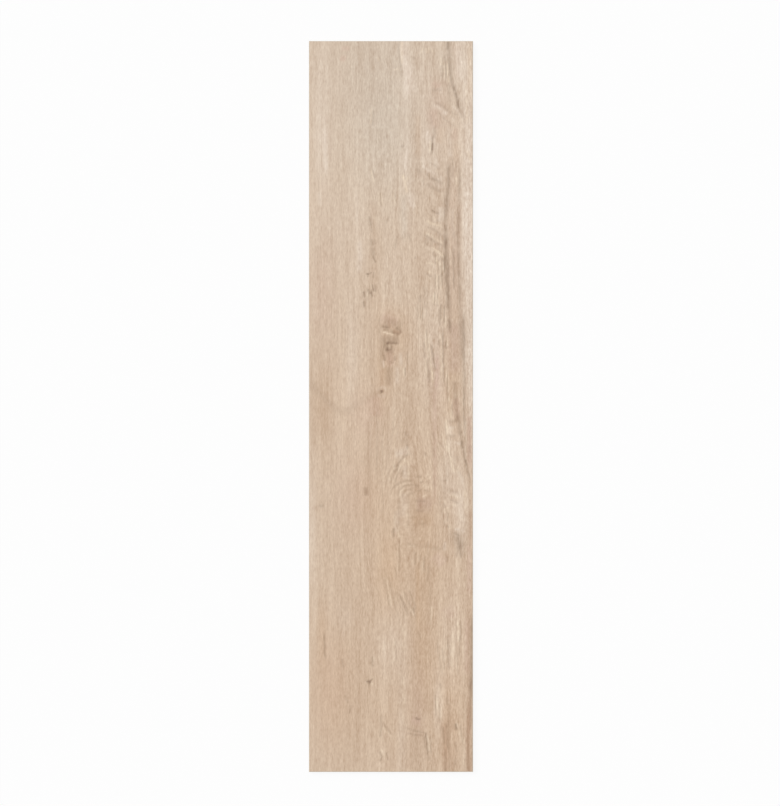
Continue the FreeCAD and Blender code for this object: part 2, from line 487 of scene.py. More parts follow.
# Above the main knot.
print_marks("umber", [
    (0.22, 1.4, (43, 222), (53, 217.6), (62, 211.6), (67, 207)),
    (0.26, 1.4, (39, 212.6), (50, 206), (56, 201.4), (65, 197)),
    (0.2, 0.9, (42.4, 209), (42.8, 197)),
    (0.2, 0.9, (45.6, 208), (45.8, 196)),
    (0.22, 1, (50, 208), (50.4, 197)),
    (0.2, 1, (60, 213), (60, 204)),
    (0.22, 1.2, (52, 192), (53, 183)),
    (0.2, 1.1, (60, 197), (60, 189)),
    (0.28, 1.3, (61, 185.6), (63.8, 177)),
    (0.24, 1.2, (43, 165), (47.6, 161), (52, 159.2)),
    (0.24, 1.2, (29.4, 184.6), (30.6, 181.6)),
    (0.24, 1.9, (-24.4, 207), (-22.4, 197)),
    (0.2, 1.1, (-20.6, 206), (-19.8, 199)),
    (0.24, 2.6, (-22.8, 197), (-21, 184)),
    (0.38, 1.2, (-22, 186), (-18.4, 176)),
    (0.42, 1, (-31.5, 163.2), (-26.5, 163.5), (-23, 165.4)),
    (0.32, 1, (-28.4, 165), (-27.6, 159)),
    (0.28, 1, (-21, 166.4), (-21.6, 158)),
    (0.52, 1.3, (-34.2, 142.6), (-31.8, 134)),
    (0.42, 1.1, (-28.6, 145), (-25.8, 137.6)),
    (0.42, 1.1, (-24.9, 143), (-22.9, 134)),
    (0.42, 1.1, (-23.2, 151), (-20.6, 141)),
    (0.3, 1, (-19, 151), (-18.6, 140)),
    (0.5, 1.3, (-33.6, 130), (-31.6, 122)),
    (0.08, 5, (-34, 126), (-26, 140), (-20, 150)),
    (0.3, 0.9, (54.8, 188), (55.2, 174)),
    (0.34, 0.9, (58, 184), (58.4, 165)),
    (0.36, 0.9, (61.9, 178), (62, 158)),
    (0.36, 0.9, (65, 190), (65.2, 162)),
    (0.3, 0.9, (54.4, 165), (54.8, 144)),
    (0.34, 0.9, (58.8, 163), (58.8, 143)),
    (0.32, 0.9, (63, 167), (63.2, 146)),
    (0.3, 0.9, (53.8, 143), (53.8, 123)),
    (0.26, 0.9, (57.2, 141), (57.2, 121)),
    (0.38, 0.9, (61.8, 128), (62, 104)),
    (0.3, 0.9, (59.8, 123), (60.2, 97)),
    (0.36, 0.9, (65.2, 127), (65.6, 101)),
    (0.22, 1.8, (36, 138), (36, 127)),
    (0.3, 0.9, (36.2, 128), (36.4, 117), (36.2, 106)),
    (0.34, 0.9, (38.8, 124), (38.8, 104)),
    (0.28, 0.9, (33, 128), (32.8, 105)),
    (0.2, 0.9, (41, 152), (41, 118)),
    (0.18, 0.9, (44.4, 150), (44.6, 108)),
])
print_marks("cream", [
    (0.38, 1.2, (38, 216.4), (47, 212), (53, 208), (60, 203.4), (67, 199)),
    (0.6, 1.2, (50, 197.4), (56, 192), (61, 187.4), (65, 182.6)),
    (0.4, 1, (54, 181), (58, 178), (62, 173)),
    (0.3, 1, (42.6, 176.6), (53.4, 175.6)),
    (0.55, 1.2, (46, 167.4), (50, 163.2)),
    (0.35, 1, (-23.8, 144), (-25.2, 152)),
    (0.3, 0.9, (-30.6, 141), (-29.4, 135)),
    (0.38, 0.9, (56.4, 186), (56.6, 168)),
    (0.38, 0.9, (60, 177), (60.6, 160)),
    (0.36, 0.9, (63.6, 180), (63.6, 163)),
    (0.44, 0.9, (56.7, 165), (56.7, 143)),
    (0.36, 0.9, (61.2, 158), (61.4, 141)),
    (0.42, 0.9, (52.3, 141), (52.2, 126)),
    (0.38, 0.9, (55.6, 140), (55.4, 125)),
    (0.38, 0.9, (58.7, 139), (58.8, 124)),
    (0.38, 0.9, (63.4, 125), (63.2, 103)),
    (0.32, 0.9, (67.2, 117), (67.6, 92)),
    (0.34, 0.8, (34.6, 127), (34.6, 106)),
    (0.3, 0.8, (37.6, 122), (37.6, 105)),
])
print_marks("pale", [
    (0.5, 3.5, (-39, 208), (-38, 185), (-39, 162)),
])

# The main knot, and the pin knot below it.
print_marks("umber", [
    (0.2, 5, (-12, 104), (2, 103), (16, 99)),
    (0.46, 1.9, (-12.5, 99), (-6, 97.4), (0, 97)),
    (0.38, 2.1, (5.5, 97.8), (11, 94), (13, 89)),
    (0.36, 1.7, (-0.4, 92.4), (12, 88)),
    (0.3, 1.3, (-12, 94.4), (3, 93.2)),
    (0.29, 4.4, (-13, 83.4), (0, 82.6), (12, 83)),
    (0.46, 1.6, (-7.4, 78), (1, 78.6), (10.6, 77.2)),
    (0.42, 2.3, (-3.2, 80.8), (-6, 74.5), (-3.8, 66.8)),
    (0.36, 1.2, (1, 79.5), (0.2, 68.4)),
    (0.26, 4.4, (-7, 72), (4, 66)),
    (0.28, 1.4, (-8.2, 85), (-9.2, 72), (-10.2, 60)),
    (0.4, 1.5, (-9.1, 64.4), (-6.9, 55.6)),
    (0.3, 1.2, (5, 62.5), (5, 55.5)),
    (0.28, 1.1, (-2.5, 55.8), (3.5, 53.2)),
    (0.18, 1.6, (-13, 116), (-14, 95), (-12.5, 75), (-12, 44)),
    (0.28, 0.9, (20.3, 69), (20.3, 49)),
    (0.36, 0.8, (17.3, 49), (17.4, 36)),
    (0.25, 4.5, (-3, 51), (-2.6, 38), (-3, 24)),
    (0.72, 1.7, (-11.8, 20.6), (-10.4, 16.2)),
    (0.12, 4.5, (-108, 38), (-85, 14), (-70, -2), (-52, -10)),
    (0.09, 4.5, (-64, -10), (-45, 0), (-30, 10), (-8, 21)),
])
print_marks("russet", [
    (0.1, 6, (-12, 110), (8, 103)),
    (0.4, 3.2, (1.6, 92.6), (13, 90)),
    (0.22, 4.6, (-3, 71), (-2, 60), (1, 50)),
    (0.2, 2.5, (-11, 48), (-11.5, 36), (-12, 24)),
    (0.1, 6, (-13, 31), (-12, 5)),
    (0.07, 5, (-24, 14), (-19, 5), (-18, -8)),
])
print_marks("rose", [
    (0.4, 7, (-14, 112), (10, 103)),
    (0.4, 5, (-3, 71), (-2, 60), (1, 48)),
    (0.35, 8, (-24, 14), (-18, 2), (-19, -14)),
])
print_marks("cream", [
    (0.7, 0.9, (-11, 92), (-3, 90), (4.6, 87.6)),
    (0.25, 0.9, (-2.2, 75.6), (-1.8, 71)),
    (0.45, 0.8, (15.2, 49), (15.4, 36)),
])
print_marks("pale", [
    (0.45, 1.4, (-9.2, 58), (-9.4, 47)),
    (0.4, 1.8, (12, 68), (12.5, 49)),
    (0.35, 2.2, (7.5, 51), (7.6, 26)),
    (0.28, 1.2, (-16.5, 17.5), (-14.5, 22.6), (-10.7, 24.2), (-7, 22.6), (-5, 17.5)),
    (0.28, 1.2, (-16, 16), (-13.5, 12.6), (-9, 12.4), (-5.6, 16)),
])
print_marks("tan", [
    (0.1, 5, (-3, 51), (-3, 24)),
    (0.18, 8, (-26, 18), (-18, 4), (-20, -14)),
])

# Right of the main knot, and down the right side.
print_marks("cream", [
    (0.52, 1, (45.8, 96), (46.4, 80), (48.2, 58), (52, 28)),
    (0.45, 0.9, (41, 98), (43.5, 75), (46, 56)),
    (0.48, 1, (49.8, 46), (51.6, 26)),
    (0.44, 0.9, (42.6, 62), (44, 34)),
    (0.45, 0.9, (61.2, 94), (62, 60), (62.6, 28)),
    (0.45, 0.9, (67.2, 62), (67.8, 44), (68.2, 29)),
    (0.45, 1, (69.6, 82), (70.2, 74)),
    (0.48, 0.9, (71.4, 40), (71.6, 18), (71.2, 4)),
    (0.66, 1.2, (71, 13), (73.2, 3), (72.8, -4), (73.8, -16)),
    (0.5, 1.2, (67.2, -14), (69, -23), (70.4, -36)),
    (0.48, 1.3, (63.6, -30), (66.6, -43), (70.6, -58)),
    (0.26, 1.8, (71.2, -42), (72, -58), (73.6, -70)),
    (0.48, 1.5, (72.4, -60), (75, -71), (79, -82)),
    (0.2, 1.2, (60.6, -46), (64.6, -62), (69, -80)),
    (0.22, 1.2, (79, -66), (82, -76), (86.4, -92)),
    (0.38, 1, (89, -91), (91, -102), (92.6, -114)),
    (0.34, 1.2, (71, -108.6), (78, -110.6), (86, -115.6)),
    (0.25, 1.1, (72, -119.4), (81, -121.8)),
    (0.35, 1.2, (66.4, -115), (67.6, -121)),
    (0.35, 1, (65.2, -125), (66.8, -132)),
    (0.4, 1, (69.4, -123), (71.2, -132)),
    (0.35, 0.9, (71.6, -127), (71.6, -141)),
    (0.45, 1.3, (71.8, -144.8), (73.8, -151.4)),
    (0.3, 1.6, (90.2, -104), (91.4, -119), (92.8, -135)),
])
print_marks("umber", [
    (0.42, 1, (49.6, 79), (52.6, 58), (54.8, 42)),
    (0.34, 0.9, (43.5, 98), (46.2, 72), (48.5, 48)),
    (0.36, 1, (47.4, 47), (47.2, 27)),
    (0.32, 0.9, (40.6, 82), (41.8, 56)),
    (0.3, 0.9, (44.4, 60), (45.6, 32)),
    (0.38, 1, (64, 100), (64.4, 66), (65, 44), (66.4, 22)),
    (0.36, 1.2, (59.6, 83), (60, 74)),
    (0.4, 1.3, (67.6, 82), (67.8, 70)),
    (0.3, 0.9, (69.6, 40), (70.2, 20), (69.8, 2)),
    (0.28, 1, (75.2, 5), (74.6, -3.6), (76.2, -12)),
    (0.11, 7, (77, 108), (77, 36)),
    (0.16, 2.6, (87.4, 114), (88, 52)),
    (0.24, 3, (78.4, 33), (80, 8)),
    (0.16, 3, (79.4, 13), (81, -4), (82.2, -22)),
    (0.2, 1.4, (79.2, 11), (80.4, 1)),
    (0.14, 1.4, (80.4, -3), (82.2, -16)),
    (0.26, 2.6, (82.4, -8), (84, -24), (85.6, -38)),
    (0.18, 2.2, (86.2, -28), (87.8, -50)),
    (0.4, 1.5, (86.4, -41), (88.8, -53)),
    (0.34, 1.3, (88.2, -47), (90.4, -60), (92.4, -71), (94.4, -79), (98, -94)),
    (0.2, 1.1, (91.6, -64), (93, -74)),
    (0.26, 1.3, (89.4, 125), (90.2, 80), (90.4, 45), (90.4, 15), (90, -12), (91, -42)),
    (0.18, 1.1, (90.2, 28), (89.8, 4), (90, -24)),
    (0.11, 2.8, (89, 126), (89.4, 84), (89, 48), (88, 10)),
    (0.22, 1.2, (97, -47), (97.2, -59)),
    (0.14, 1.3, (67.6, -40), (70.4, -56), (74.4, -74)),
    (0.12, 1.3, (62.8, -56), (67, -72), (71.6, -90)),
    (0.12, 1.3, (77, -64), (81.6, -78), (86.6, -90)),
    (0.16, 1, (66.4, -17), (67.6, -30), (71, -44)),
    (0.18, 1.6, (67.6, -18), (76, -18.6), (82.4, -17)),
    (0.2, 1.5, (70.6, -36), (75, -36.6), (80, -35)),
    (0.16, 1.1, (59, -44), (66, -51)),
    (0.24, 1.6, (81.2, -60), (83.8, -68)),
    (0.08, 3.4, (65.4, -85), (66, -117)),
    (0.28, 1.2, (65.8, -90.4), (68.8, -91.8)),
    (0.18, 2, (69, -102), (76, -104.6), (84, -106.4)),
    (0.26, 1.2, (71.4, -114.4), (77.6, -116.2), (84.2, -120.4)),
    (0.24, 1.1, (64.6, -118.6), (66.4, -126)),
    (0.24, 1, (70.2, -128), (70, -143)),
    (0.3, 1.3, (68, -146), (72, -149.4)),
    (0.16, 1, (60, -108), (60.4, -124)),
    (0.18, 1, (61.5, -120), (64, -135), (66.5, -150)),
    (0.2, 1.2, (76, -155), (86, -159.6)),
    (0.12, 6, (68, -157), (79, -163), (92, -174)),
    (0.2, 5.5, (80, -150), (84, -167), (86.4, -188)),
    (0.2, 2.2, (81.6, -159), (84, -166), (85.2, -178)),
    (0.14, 1.2, (84.6, -170), (86.2, -189)),
    (0.14, 1.2, (81, -171), (80.6, -187)),
    (0.14, 2.6, (47, -173.6), (56, -175), (65.6, -174.6)),
    (0.28, 1.1, (69.1, -184.6), (69.9, -191.6)),
])
print_marks("rose", [
    (0.7, 2.2, (56.4, 68), (56.8, 45), (56, 18)),
    (0.45, 7, (78, 108), (78, 36)),
    (0.45, 4, (79, 12), (80.6, -4), (81.4, -14)),
    (0.7, 3, (96, -6), (97, -40), (97, -80)),
    (0.45, 7, (52, -182), (66, -196)),
    (0.5, 2.6, (96, -164), (96, -236)),
])
print_marks("russet", [
    (0.24, 3, (79, 12), (80.6, -4), (82, -20)),
    (0.26, 1.8, (96.6, -10), (97, -36), (97.4, -70)),
    (0.34, 2, (97.4, -124), (97.6, -146), (97, -172)),
])
print_marks("ash", [
    (0.5, 1.2, (91, -10), (91.4, -40), (92, -66)),
])
print_marks("pale", [
    (0.12, 3.5, (72, -10), (73, -32), (73, -56)),
    (0.3, 1.4, (70, -25.6), (80, -26.4)),
    (0.45, 1.4, (78, -43.6), (86, -46.4)),
    (0.35, 1.8, (81.6, -77), (87, -89), (92, -104)),
    (0.5, 1.4, (77.6, -150.8), (85.4, -151.8)),
    (0.45, 1.4, (86, -151.6), (90.6, -155.4)),
    (0.4, 2, (66, -166), (66, -178)),
])

# The cathedral.
print_marks("umber", [
    (0.09, 0.9, (-27.8, -10), (-27.8, -66), (-26.4, -118)),
    (0.1, 0.9, (-24.8, -14), (-25, -60), (-24.4, -112)),
    (0.18, 0.9, (-17, 10), (-17, -40), (-17.6, -96)),
    (0.12, 0.9, (-10, -12), (-10.8, -60), (-11.2, -98), (-9, -140)),
    (0.12, 1, (-3, -18), (-4, -50), (-6, -86)),
    (0.12, 1, (3.5, 3), (3, -25), (0, -45), (-3, -72)),
    (0.12, 1, (9.5, -7), (8, -35), (5, -60)),
    (0.2, 2, (17, -30), (20.6, -37.4)),
    (0.12, 3.4, (9, -42), (22.6, -44)),
    (0.34, 1.3, (19.8, -46), (21.2, -53)),
    (0.26, 1.5, (6, -74), (10, -69), (15.5, -63), (24, -57)),
    (0.18, 1.3, (11, -70), (8, -76), (4.6, -81), (1, -88), (-1.4, -97)),
    (0.24, 1.8, (2.4, -74.4), (6.4, -73.4), (11, -72.6)),
    (0.24, 1.6, (1.8, -80.4), (9.4, -76.8)),
    (0.18, 1.2, (-0.6, -74), (-4, -86), (-6.4, -99)),
    (0.18, 1.2, (14.8, -71), (10.5, -79), (6.5, -88), (4.6, -97)),
    (0.26, 1.5, (15.2, -78), (13.8, -86.5)),
    (0.22, 1.5, (0, -104), (5, -97.5), (11, -93.6), (18, -91.6), (29, -91)),
    (0.22, 1.3, (8, -110), (11, -101.6), (15, -98), (21, -96.6), (31, -96.4)),
    (0.16, 1.2, (12.4, -113), (16, -105.6), (20, -102.4), (29, -101)),
    (0.14, 1.2, (18.6, -112), (23, -107.4), (30, -106.4)),
    (0.18, 1.1, (10, -108), (9.6, -128), (10.4, -154)),
    (0.14, 1.1, (21, -108), (21.4, -128), (21, -152)),
    (0.28, 1.5, (31.4, -85.6), (38, -87.6)),
    (0.34, 1.5, (29.6, -96.6), (35, -99)),
    (0.26, 1.3, (35.6, -94.2), (41, -92.2)),
    (0.28, 1.2, (43, -91.4), (47.4, -94.8)),
    (0.24, 1.2, (40.4, -102.8), (47.6, -104.8)),
    (0.24, 1.2, (32.4, -104.4), (38.6, -101.8)),
    (0.08, 7, (30, -119), (52, -120)),
    (0.24, 1.4, (28.6, -115.6), (37, -116.8), (45.4, -116)),
    (0.22, 1.3, (29, -127.6), (36, -128.4), (43, -127.8)),
    (0.06, 8, (24, -140), (52, -140)),
    (0.14, 1.4, (32.8, -138), (34.4, -143.8), (38, -145.6), (41.6, -143.4), (42.2, -138)),
    (0.18, 1.2, (52.8, -31), (52.8, -42)),
    (0.18, 1.2, (53, -50), (53, -63)),
    (0.2, 1.2, (53.6, -89), (53.6, -100)),
    (0.24, 1.2, (42.3, -56), (43.1, -62)),
    (0.26, 2.9, (-30.8, -98.5), (-29.8, -111)),
    (0.24, 2, (-90, -122), (-81.5, -122.6)),
])
print_marks("cream", [
    (0.2, 0.9, (-7.2, -16), (-8.4, -60), (-9, -112)),
    (0.2, 0.9, (6, -2), (5.4, -30), (3, -58)),
    (0.34, 0.9, (21.6, -50), (21.8, -67)),
    (0.42, 1.4, (18, -62), (16.4, -68), (11.4, -75)),
    (0.22, 1.1, (12.4, -73), (8, -80.5), (4, -89), (2, -97)),
    (0.34, 1.1, (18.2, -63), (21, -70), (22, -80), (22.2, -93)),
    (0.38, 1.1, (3, -67), (2.5, -75.5), (0, -82), (-2.4, -94)),
    (0.18, 1.1, (-4.2, -76), (-8.4, -94)),
    (0.22, 1.2, (3.4, -105), (8, -98.6), (13, -95.6), (19, -94.4), (27, -94)),
    (0.26, 1.2, (10.2, -111.6), (13, -104), (17, -100.4), (24, -99)),
    (0.2, 1.2, (15, -113.4), (19, -107), (26, -104)),
    (0.34, 1.1, (38, -99.4), (42.4, -95.2)),
    (0.26, 1.2, (41.6, -87), (47, -83)),
    (0.26, 1.2, (45.4, -90.2), (49.6, -86)),
    (0.26, 1.1, (33.4, -93.4), (38.6, -90)),
    (0.22, 1.2, (42.4, -100.2), (47.6, -97.8)),
    (0.26, 1.1, (38, -111.8), (44, -108.7)),
    (0.22, 1.2, (35.4, -141.7), (40, -141.3)),
    (0.26, 1, (5, -131), (5, -151)),
    (0.28, 1, (9.4, -146), (9.6, -163)),
])
print_marks("pale", [
    (0.42, 5, (4, -60.4), (13, -57), (25, -53)),
    (0.3, 3, (18.5, -71), (17.5, -90)),
    (0.22, 4.2, (16.4, -104), (15.6, -120), (14, -138)),
    (0.2, 3, (8.4, -124), (7.4, -140), (6.6, -158)),
])
print_marks("russet", [
    (0.1, 3, (27.4, -67), (27.6, -96)),
    (0.24, 1.2, (53.2, -25), (52.8, -45), (53, -68)),
    (0.26, 1.2, (53.5, -64), (54.3, -95), (53.6, -126)),
    (0.22, 1.1, (51, -110), (51.4, -130), (51, -154)),
    (0.15, 2, (-35, -103.2), (-26, -108.8)),
    (0.2, 3.5, (-97, -124), (-88, -126)),
])
print_marks("rose", [
    (0.5, 8, (30, -119), (52, -120)),
    (0.4, 2.4, (53.6, 40), (53.8, -20), (54, -130)),
])
print_marks("tan", [
    (0.2, 8, (24, -140), (52, -140)),
])

# Below the cathedral.
print_marks("umber", [
    (0.4, 1.3, (3.5, -148.4), (3, -155), (3.2, -162.4)),
    (0.16, 0.9, (4.5, -128), (4.8, -147)),
    (0.22, 0.9, (10.8, -158), (10.6, -182), (10.4, -208)),
    (0.1, 2.4, (18, -168.6), (31, -171.6), (46, -173.4)),
    (0.3, 1, (30.6, -178), (30.4, -197)),
    (0.28, 1, (41, -183), (41.4, -205)),
    (0.2, 1, (36.2, -180), (33.8, -202)),
    (0.2, 0.9, (45, -164), (46, -190)),
    (0.22, 1, (46.4, -194), (44.4, -218)),
    (0.14, 1, (4.8, -196), (7.2, -214)),
    (0.14, 1.2, (-8.6, -206), (-5.6, -226), (-0.6, -250)),
    (0.14, 1.2, (-1.6, -212), (2.4, -230), (7.4, -250)),
    (0.26, 1, (27.4, -246), (29, -255)),
    (0.24, 1, (23.6, -251), (25.2, -259)),
    (0.22, 1, (9, -228), (15, -241), (21.6, -256)),
    (0.24, 1, (14.6, -225), (21, -239), (27, -252), (31.4, -263)),
    (0.18, 1, (20.8, -223), (26.5, -237), (32.2, -252)),
    (0.14, 0.9, (4, -223), (9, -238), (14, -252), (19, -268)),
    (0.12, 0.9, (-9.4, -195), (0, -228), (11.4, -268)),
    (0.1, 0.9, (-13.4, -200), (-5, -232), (5.4, -268)),
    (0.24, 0.9, (10.8, -231), (15.4, -240.6), (21, -251)),
    (0.24, 0.9, (12.4, -240), (16.4, -248), (21, -258)),
    (0.08, 1.6, (48.6, -182), (48.6, -280)),
])
print_marks("russet", [
    (0.18, 1.4, (13, -147.6), (19, -156), (25.6, -168)),
])
print_marks("cream", [
    (0.26, 1.3, (34.4, -161), (37.6, -165)),
    (0.26, 1, (20.2, -171.4), (29.8, -172.6)),
    (0.24, 0.8, (12.6, -162), (12.4, -200)),
    (0.24, 0.8, (8.4, -168), (8.2, -208)),
    (0.26, 1, (38.4, -184), (39, -206)),
    (0.24, 0.9, (32.7, -178), (36.8, -200)),
    (0.26, 1.5, (-5.4, -210), (-2, -228), (2.6, -250)),
    (0.36, 0.9, (25.2, -248), (27.4, -258)),
    (0.2, 0.9, (12, -228), (18, -242), (24.4, -255)),
    (0.26, 1, (22, -247), (25.6, -253), (29.2, -260)),
])
print_marks("tan", [
    (0.2, 2.6, (33, -182), (33, -280)),
])

# The lower quarter.
print_marks("cream", [
    (0.46, 0.9, (82.6, -262), (83, -278), (82.8, -296)),
    (0.24, 0.7, (88, -246), (88.4, -272), (88, -310)),
    (0.36, 0.9, (76, -272), (76.8, -290), (76.4, -318)),
    (0.24, 0.8, (74.6, -284), (74.8, -300), (74.6, -326)),
    (0.28, 0.8, (68, -284), (68.4, -300), (69, -322)),
    (0.24, 0.8, (64.4, -284), (66, -302), (67, -326)),
    (0.22, 0.8, (61, -296), (62.4, -310), (64, -330)),
    (0.2, 0.8, (80.5, -296), (80.8, -329)),
    (0.28, 1, (49.6, -244), (50, -264)),
    (0.3, 1.3, (16.3, -266), (16, -285), (15.5, -301)),
    (0.3, 0.9, (4, -280), (3.6, -300), (3.2, -318)),
    (0.3, 0.8, (-21.9, -307), (-20.1, -315)),
    (0.3, 0.9, (35.4, -276), (38.4, -288)),
])
print_marks("umber", [
    (0.26, 1.2, (85.4, -262), (86, -275), (85.6, -290)),
    (0.26, 0.8, (84.6, -282), (84.4, -310)),
    (0.2, 0.8, (80, -256), (80.2, -280), (80, -318)),
    (0.2, 0.8, (73.2, -276), (73.4, -296), (73, -325)),
    (0.32, 0.9, (70, -280), (70.4, -300), (70.6, -326)),
    (0.26, 0.8, (63, -294), (64.4, -308), (66, -326)),
    (0.26, 0.8, (59.4, -302), (61, -316), (62.6, -332)),
    (0.22, 0.8, (57.4, -286), (58.4, -306)),
    (0.18, 0.8, (82, -296), (82.4, -334)),
    (0.2, 0.8, (6.3, -284), (6, -316)),
    (0.34, 1.2, (-82, -276), (-81.6, -297), (-80.3, -313)),
    (0.28, 1, (-60.5, -309.5), (-58, -322.5)),
    (0.3, 1, (-23.9, -307), (-21.6, -316)),
    (0.28, 1, (-24.8, -313.6), (-21.4, -320.6)),
    (0.26, 1, (33.2, -276), (36.4, -288)),
    (0.46, 2.8, (100.6, -250), (100.2, -305), (99.8, -364)),
])
print_marks("rose", [
    (0.3, 7, (68, -246), (75, -262)),
    (0.4, 3, (93, -255), (93, -335)),
])
print_marks("russet", [
    (0.22, 1.2, (52, -284), (53, -314)),
    (0.2, 2.6, (95.5, -230), (95.5, -300), (96, -380)),
])

# The lower end, with another pin knot.
print_marks("umber", [
    (0.7, 1.8, (-29.6, -338), (-24.1, -340)),
    (0.4, 0.9, (-25.8, -338.4), (-22.1, -334.8)),
    (0.4, 0.9, (-27.2, -339.6), (-26.4, -345.8)),
    (0.35, 0.9, (-28.4, -338.5), (-31.8, -336.7)),
    (0.28, 1.2, (97.8, -330), (97.6, -366), (98, -402)),
    (0.18, 1, (94, -395), (95, -425), (96.4, -466)),
    (0.32, 1.2, (63.8, -392), (64.6, -404), (65.8, -418)),
    (0.28, 1, (68.2, -386), (69, -404), (69.8, -428)),
    (0.3, 1.3, (66.6, -420), (67.2, -440), (67.6, -468)),
    (0.18, 1.6, (71.4, -356), (71.4, -410), (72, -470)),
    (0.28, 1.3, (69, -356), (69.4, -368)),
    (0.34, 0.9, (61, -340), (61.6, -348)),
    (0.26, 0.8, (54, -352), (55.5, -384)),
    (0.26, 0.8, (59, -364), (59.8, -390)),
    (0.52, 1.2, (29.6, -382.6), (33, -385), (37.4, -385.4)),
    (0.24, 1.3, (16.5, -395), (28, -399), (36, -400.5), (44.5, -402.6)),
    (0.2, 1.1, (18.6, -401), (30, -404.5), (41.6, -405.2)),
    (0.52, 1.1, (43, -399), (44.6, -415), (45.4, -429)),
    (0.3, 0.9, (45, -424), (47.4, -437)),
    (0.3, 0.9, (48.6, -404), (49.6, -429)),
    (0.26, 0.9, (41, -404), (42.4, -422)),
    (0.66, 1.3, (79.8, -389.6), (80.8, -399)),
    (0.28, 0.9, (85, -390), (86.2, -402), (89.2, -416)),
    (0.26, 0.9, (79, -412), (81.4, -427)),
    (0.24, 1, (79, -432), (79.4, -442)),
    (0.3, 1.3, (-11.6, -377), (-12, -392), (-13, -410)),
    (0.26, 1.1, (-11, -388), (-5, -396), (2, -404)),
    (0.24, 1.3, (-50, -367), (-50.4, -379)),
    (0.2, 1.2, (-56, -354), (-53, -366)),
    (0.36, 1, (-14.6, -423), (-11, -431), (-13.8, -438.2)),
    (0.28, 0.9, (-5.6, -425), (-2.9, -437)),
])
print_marks("cream", [
    (0.4, 0.9, (-24.6, -340.6), (-21.8, -342.4)),
    (0.3, 1.5, (15.5, -332), (16, -360), (15, -393)),
    (0.22, 0.8, (98, -403), (97, -442)),
    (0.5, 0.9, (56.4, -357), (57.4, -370), (58.4, -384)),
    (0.34, 1, (60, -344), (61.4, -366), (61.4, -392)),
    (0.4, 0.9, (45, -402), (46.6, -414), (47.4, -426)),
    (0.38, 0.9, (80.4, -384), (82.4, -396), (84.2, -407)),
    (0.38, 0.9, (86.6, -400), (88, -408), (91, -417)),
    (0.3, 0.9, (74.4, -399), (75.4, -420)),
    (0.3, 0.9, (-10, -394), (-4, -402), (1, -407)),
    (0.38, 0.9, (-12, -421.4), (-7.4, -431.6)),
])
print_marks("russet", [
    (0.5, 3, (97, -352), (95, -385), (94.2, -410), (95.6, -432), (97, -474)),
    (0.32, 4.4, (65.4, -378), (66.4, -410), (67.4, -435), (68.4, -478)),
])
print_marks("rose", [
    (0.5, 5, (24, -386), (38, -388)),
])

# Growth bands run the whole length, some paler and some darker than the ground: strength, width and length.
GROWTH_BANDS = [
    (0.7, 20.0, 260.0),
    (1.0, 8.0, 150.0),
    (0.8, 4.0, 70.0),
    (0.6, 2.5, 30.0),
]
FIRST_BAND_SEED = 10
bands = np.zeros_like(x)
for seed, (strength, band_width, band_length) in enumerate(GROWTH_BANDS, start=FIRST_BAND_SEED):
    bands += strength * waves(fibre_line / band_width, y / band_length, seed)

# Curly figure: where the fibres wave up and down, short ripples cross the grain. Strength, the ripples'
# length, thickness and slope, then the centre and half sizes of the place.
CURLS = [
    (2.4, 14, 4.5, -0.55, 50, 285, 15, 22),
    (2.4, 9, 4.0, -0.2, 57, 248, 10, 16),
    (2.7, 14, 4.5, -0.55, 52, 205, 13, 26),
    (1.4, 14, 5.0, -0.6, 62, 375, 14, 22),
    (1.6, 12, 6.0, -0.2, 74, -30, 11, 32),
    (1.6, 12, 4.5, -0.3, 78, -112, 13, 16),
    (1.8, 6, 4.0, 0.3, 42, -95, 10, 14),
    (1.2, 8, 5.0, -0.2, 72, -150, 14, 26),
    (1.2, 7, 4.0, 0.0, 72, -228, 20, 14),
]
FIRST_CURL_SEED = 20
for seed, (strength, ripple_length, ripple_width, slope, *place) in enumerate(CURLS, start=FIRST_CURL_SEED):
    bands += strength * waves(x / ripple_length, (y - slope * x) / ripple_width, seed) * oval(*place)

# The cathedral: growth rings cut at a slant, which show as arches one inside the next.
ARCH_CENTRE, ARCH_CURVE, ARCH_SEED = 18.5, 0.1, 40
ARCH_PLACE = (13, -95, 17, 45)  # centre and half sizes
RING_STRENGTH, RING_WIDTH, RING_LENGTH = 1.2, 3.5, 30
arch_height = y + ARCH_CURVE * (x - ARCH_CENTRE) ** 2
bands += RING_STRENGTH * waves(arch_height / RING_WIDTH, x / RING_LENGTH, ARCH_SEED) * oval(*ARCH_PLACE)

# The punch presses the dark bands and streaks deepest and leaves the pale wood proud.
BAND_DEPTH, STREAK_DEPTH = 0.14, 0.40  # mm
BAND_SWING = 2.4  # nearly all values of the bands lie within this of nought
relief = BAND_DEPTH * (1 - bands / BAND_SWING) + STREAK_DEPTH * np.clip(inks["umber"] + inks["russet"], 0, 1)
on_face = points[:, 2] > thickness - WELD
points[on_face, 2] -= np.clip(relief[on_face], 0, None) * MM
tile_mesh.vertices.foreach_set("co", points.ravel())

# The fibres show faintly on the left of the plank and more strongly towards its right. At the upper right the
# wood is plainer, and they fade a little.
FIBRE_MEAN, FIBRE_RISE, RISE_WIDTH = 0.87, 0.17, 80  # it rises by that much over that many mm
PLAIN_FADE, PLAIN_PLACE = 0.18, (45, 370, 40, 100)
fibre_strength = FIBRE_MEAN + FIBRE_RISE * x / RISE_WIDTH - PLAIN_FADE * oval(*PLAIN_PLACE)
for name, amounts in [*inks.items(), ("fibre_strength", fibre_strength)]:
    layer = tile_mesh.attributes.new(name, "FLOAT", "POINT")
    layer.data.foreach_set("value", np.clip(amounts, 0, None).astype(np.float32))
grain = tile_mesh.attributes.new("grain", "FLOAT_VECTOR", "POINT")
grain.data.foreach_set("vector", np.stack([fibre_line, y, bands], -1).astype(np.float32).ravel())
tile_mesh.update()


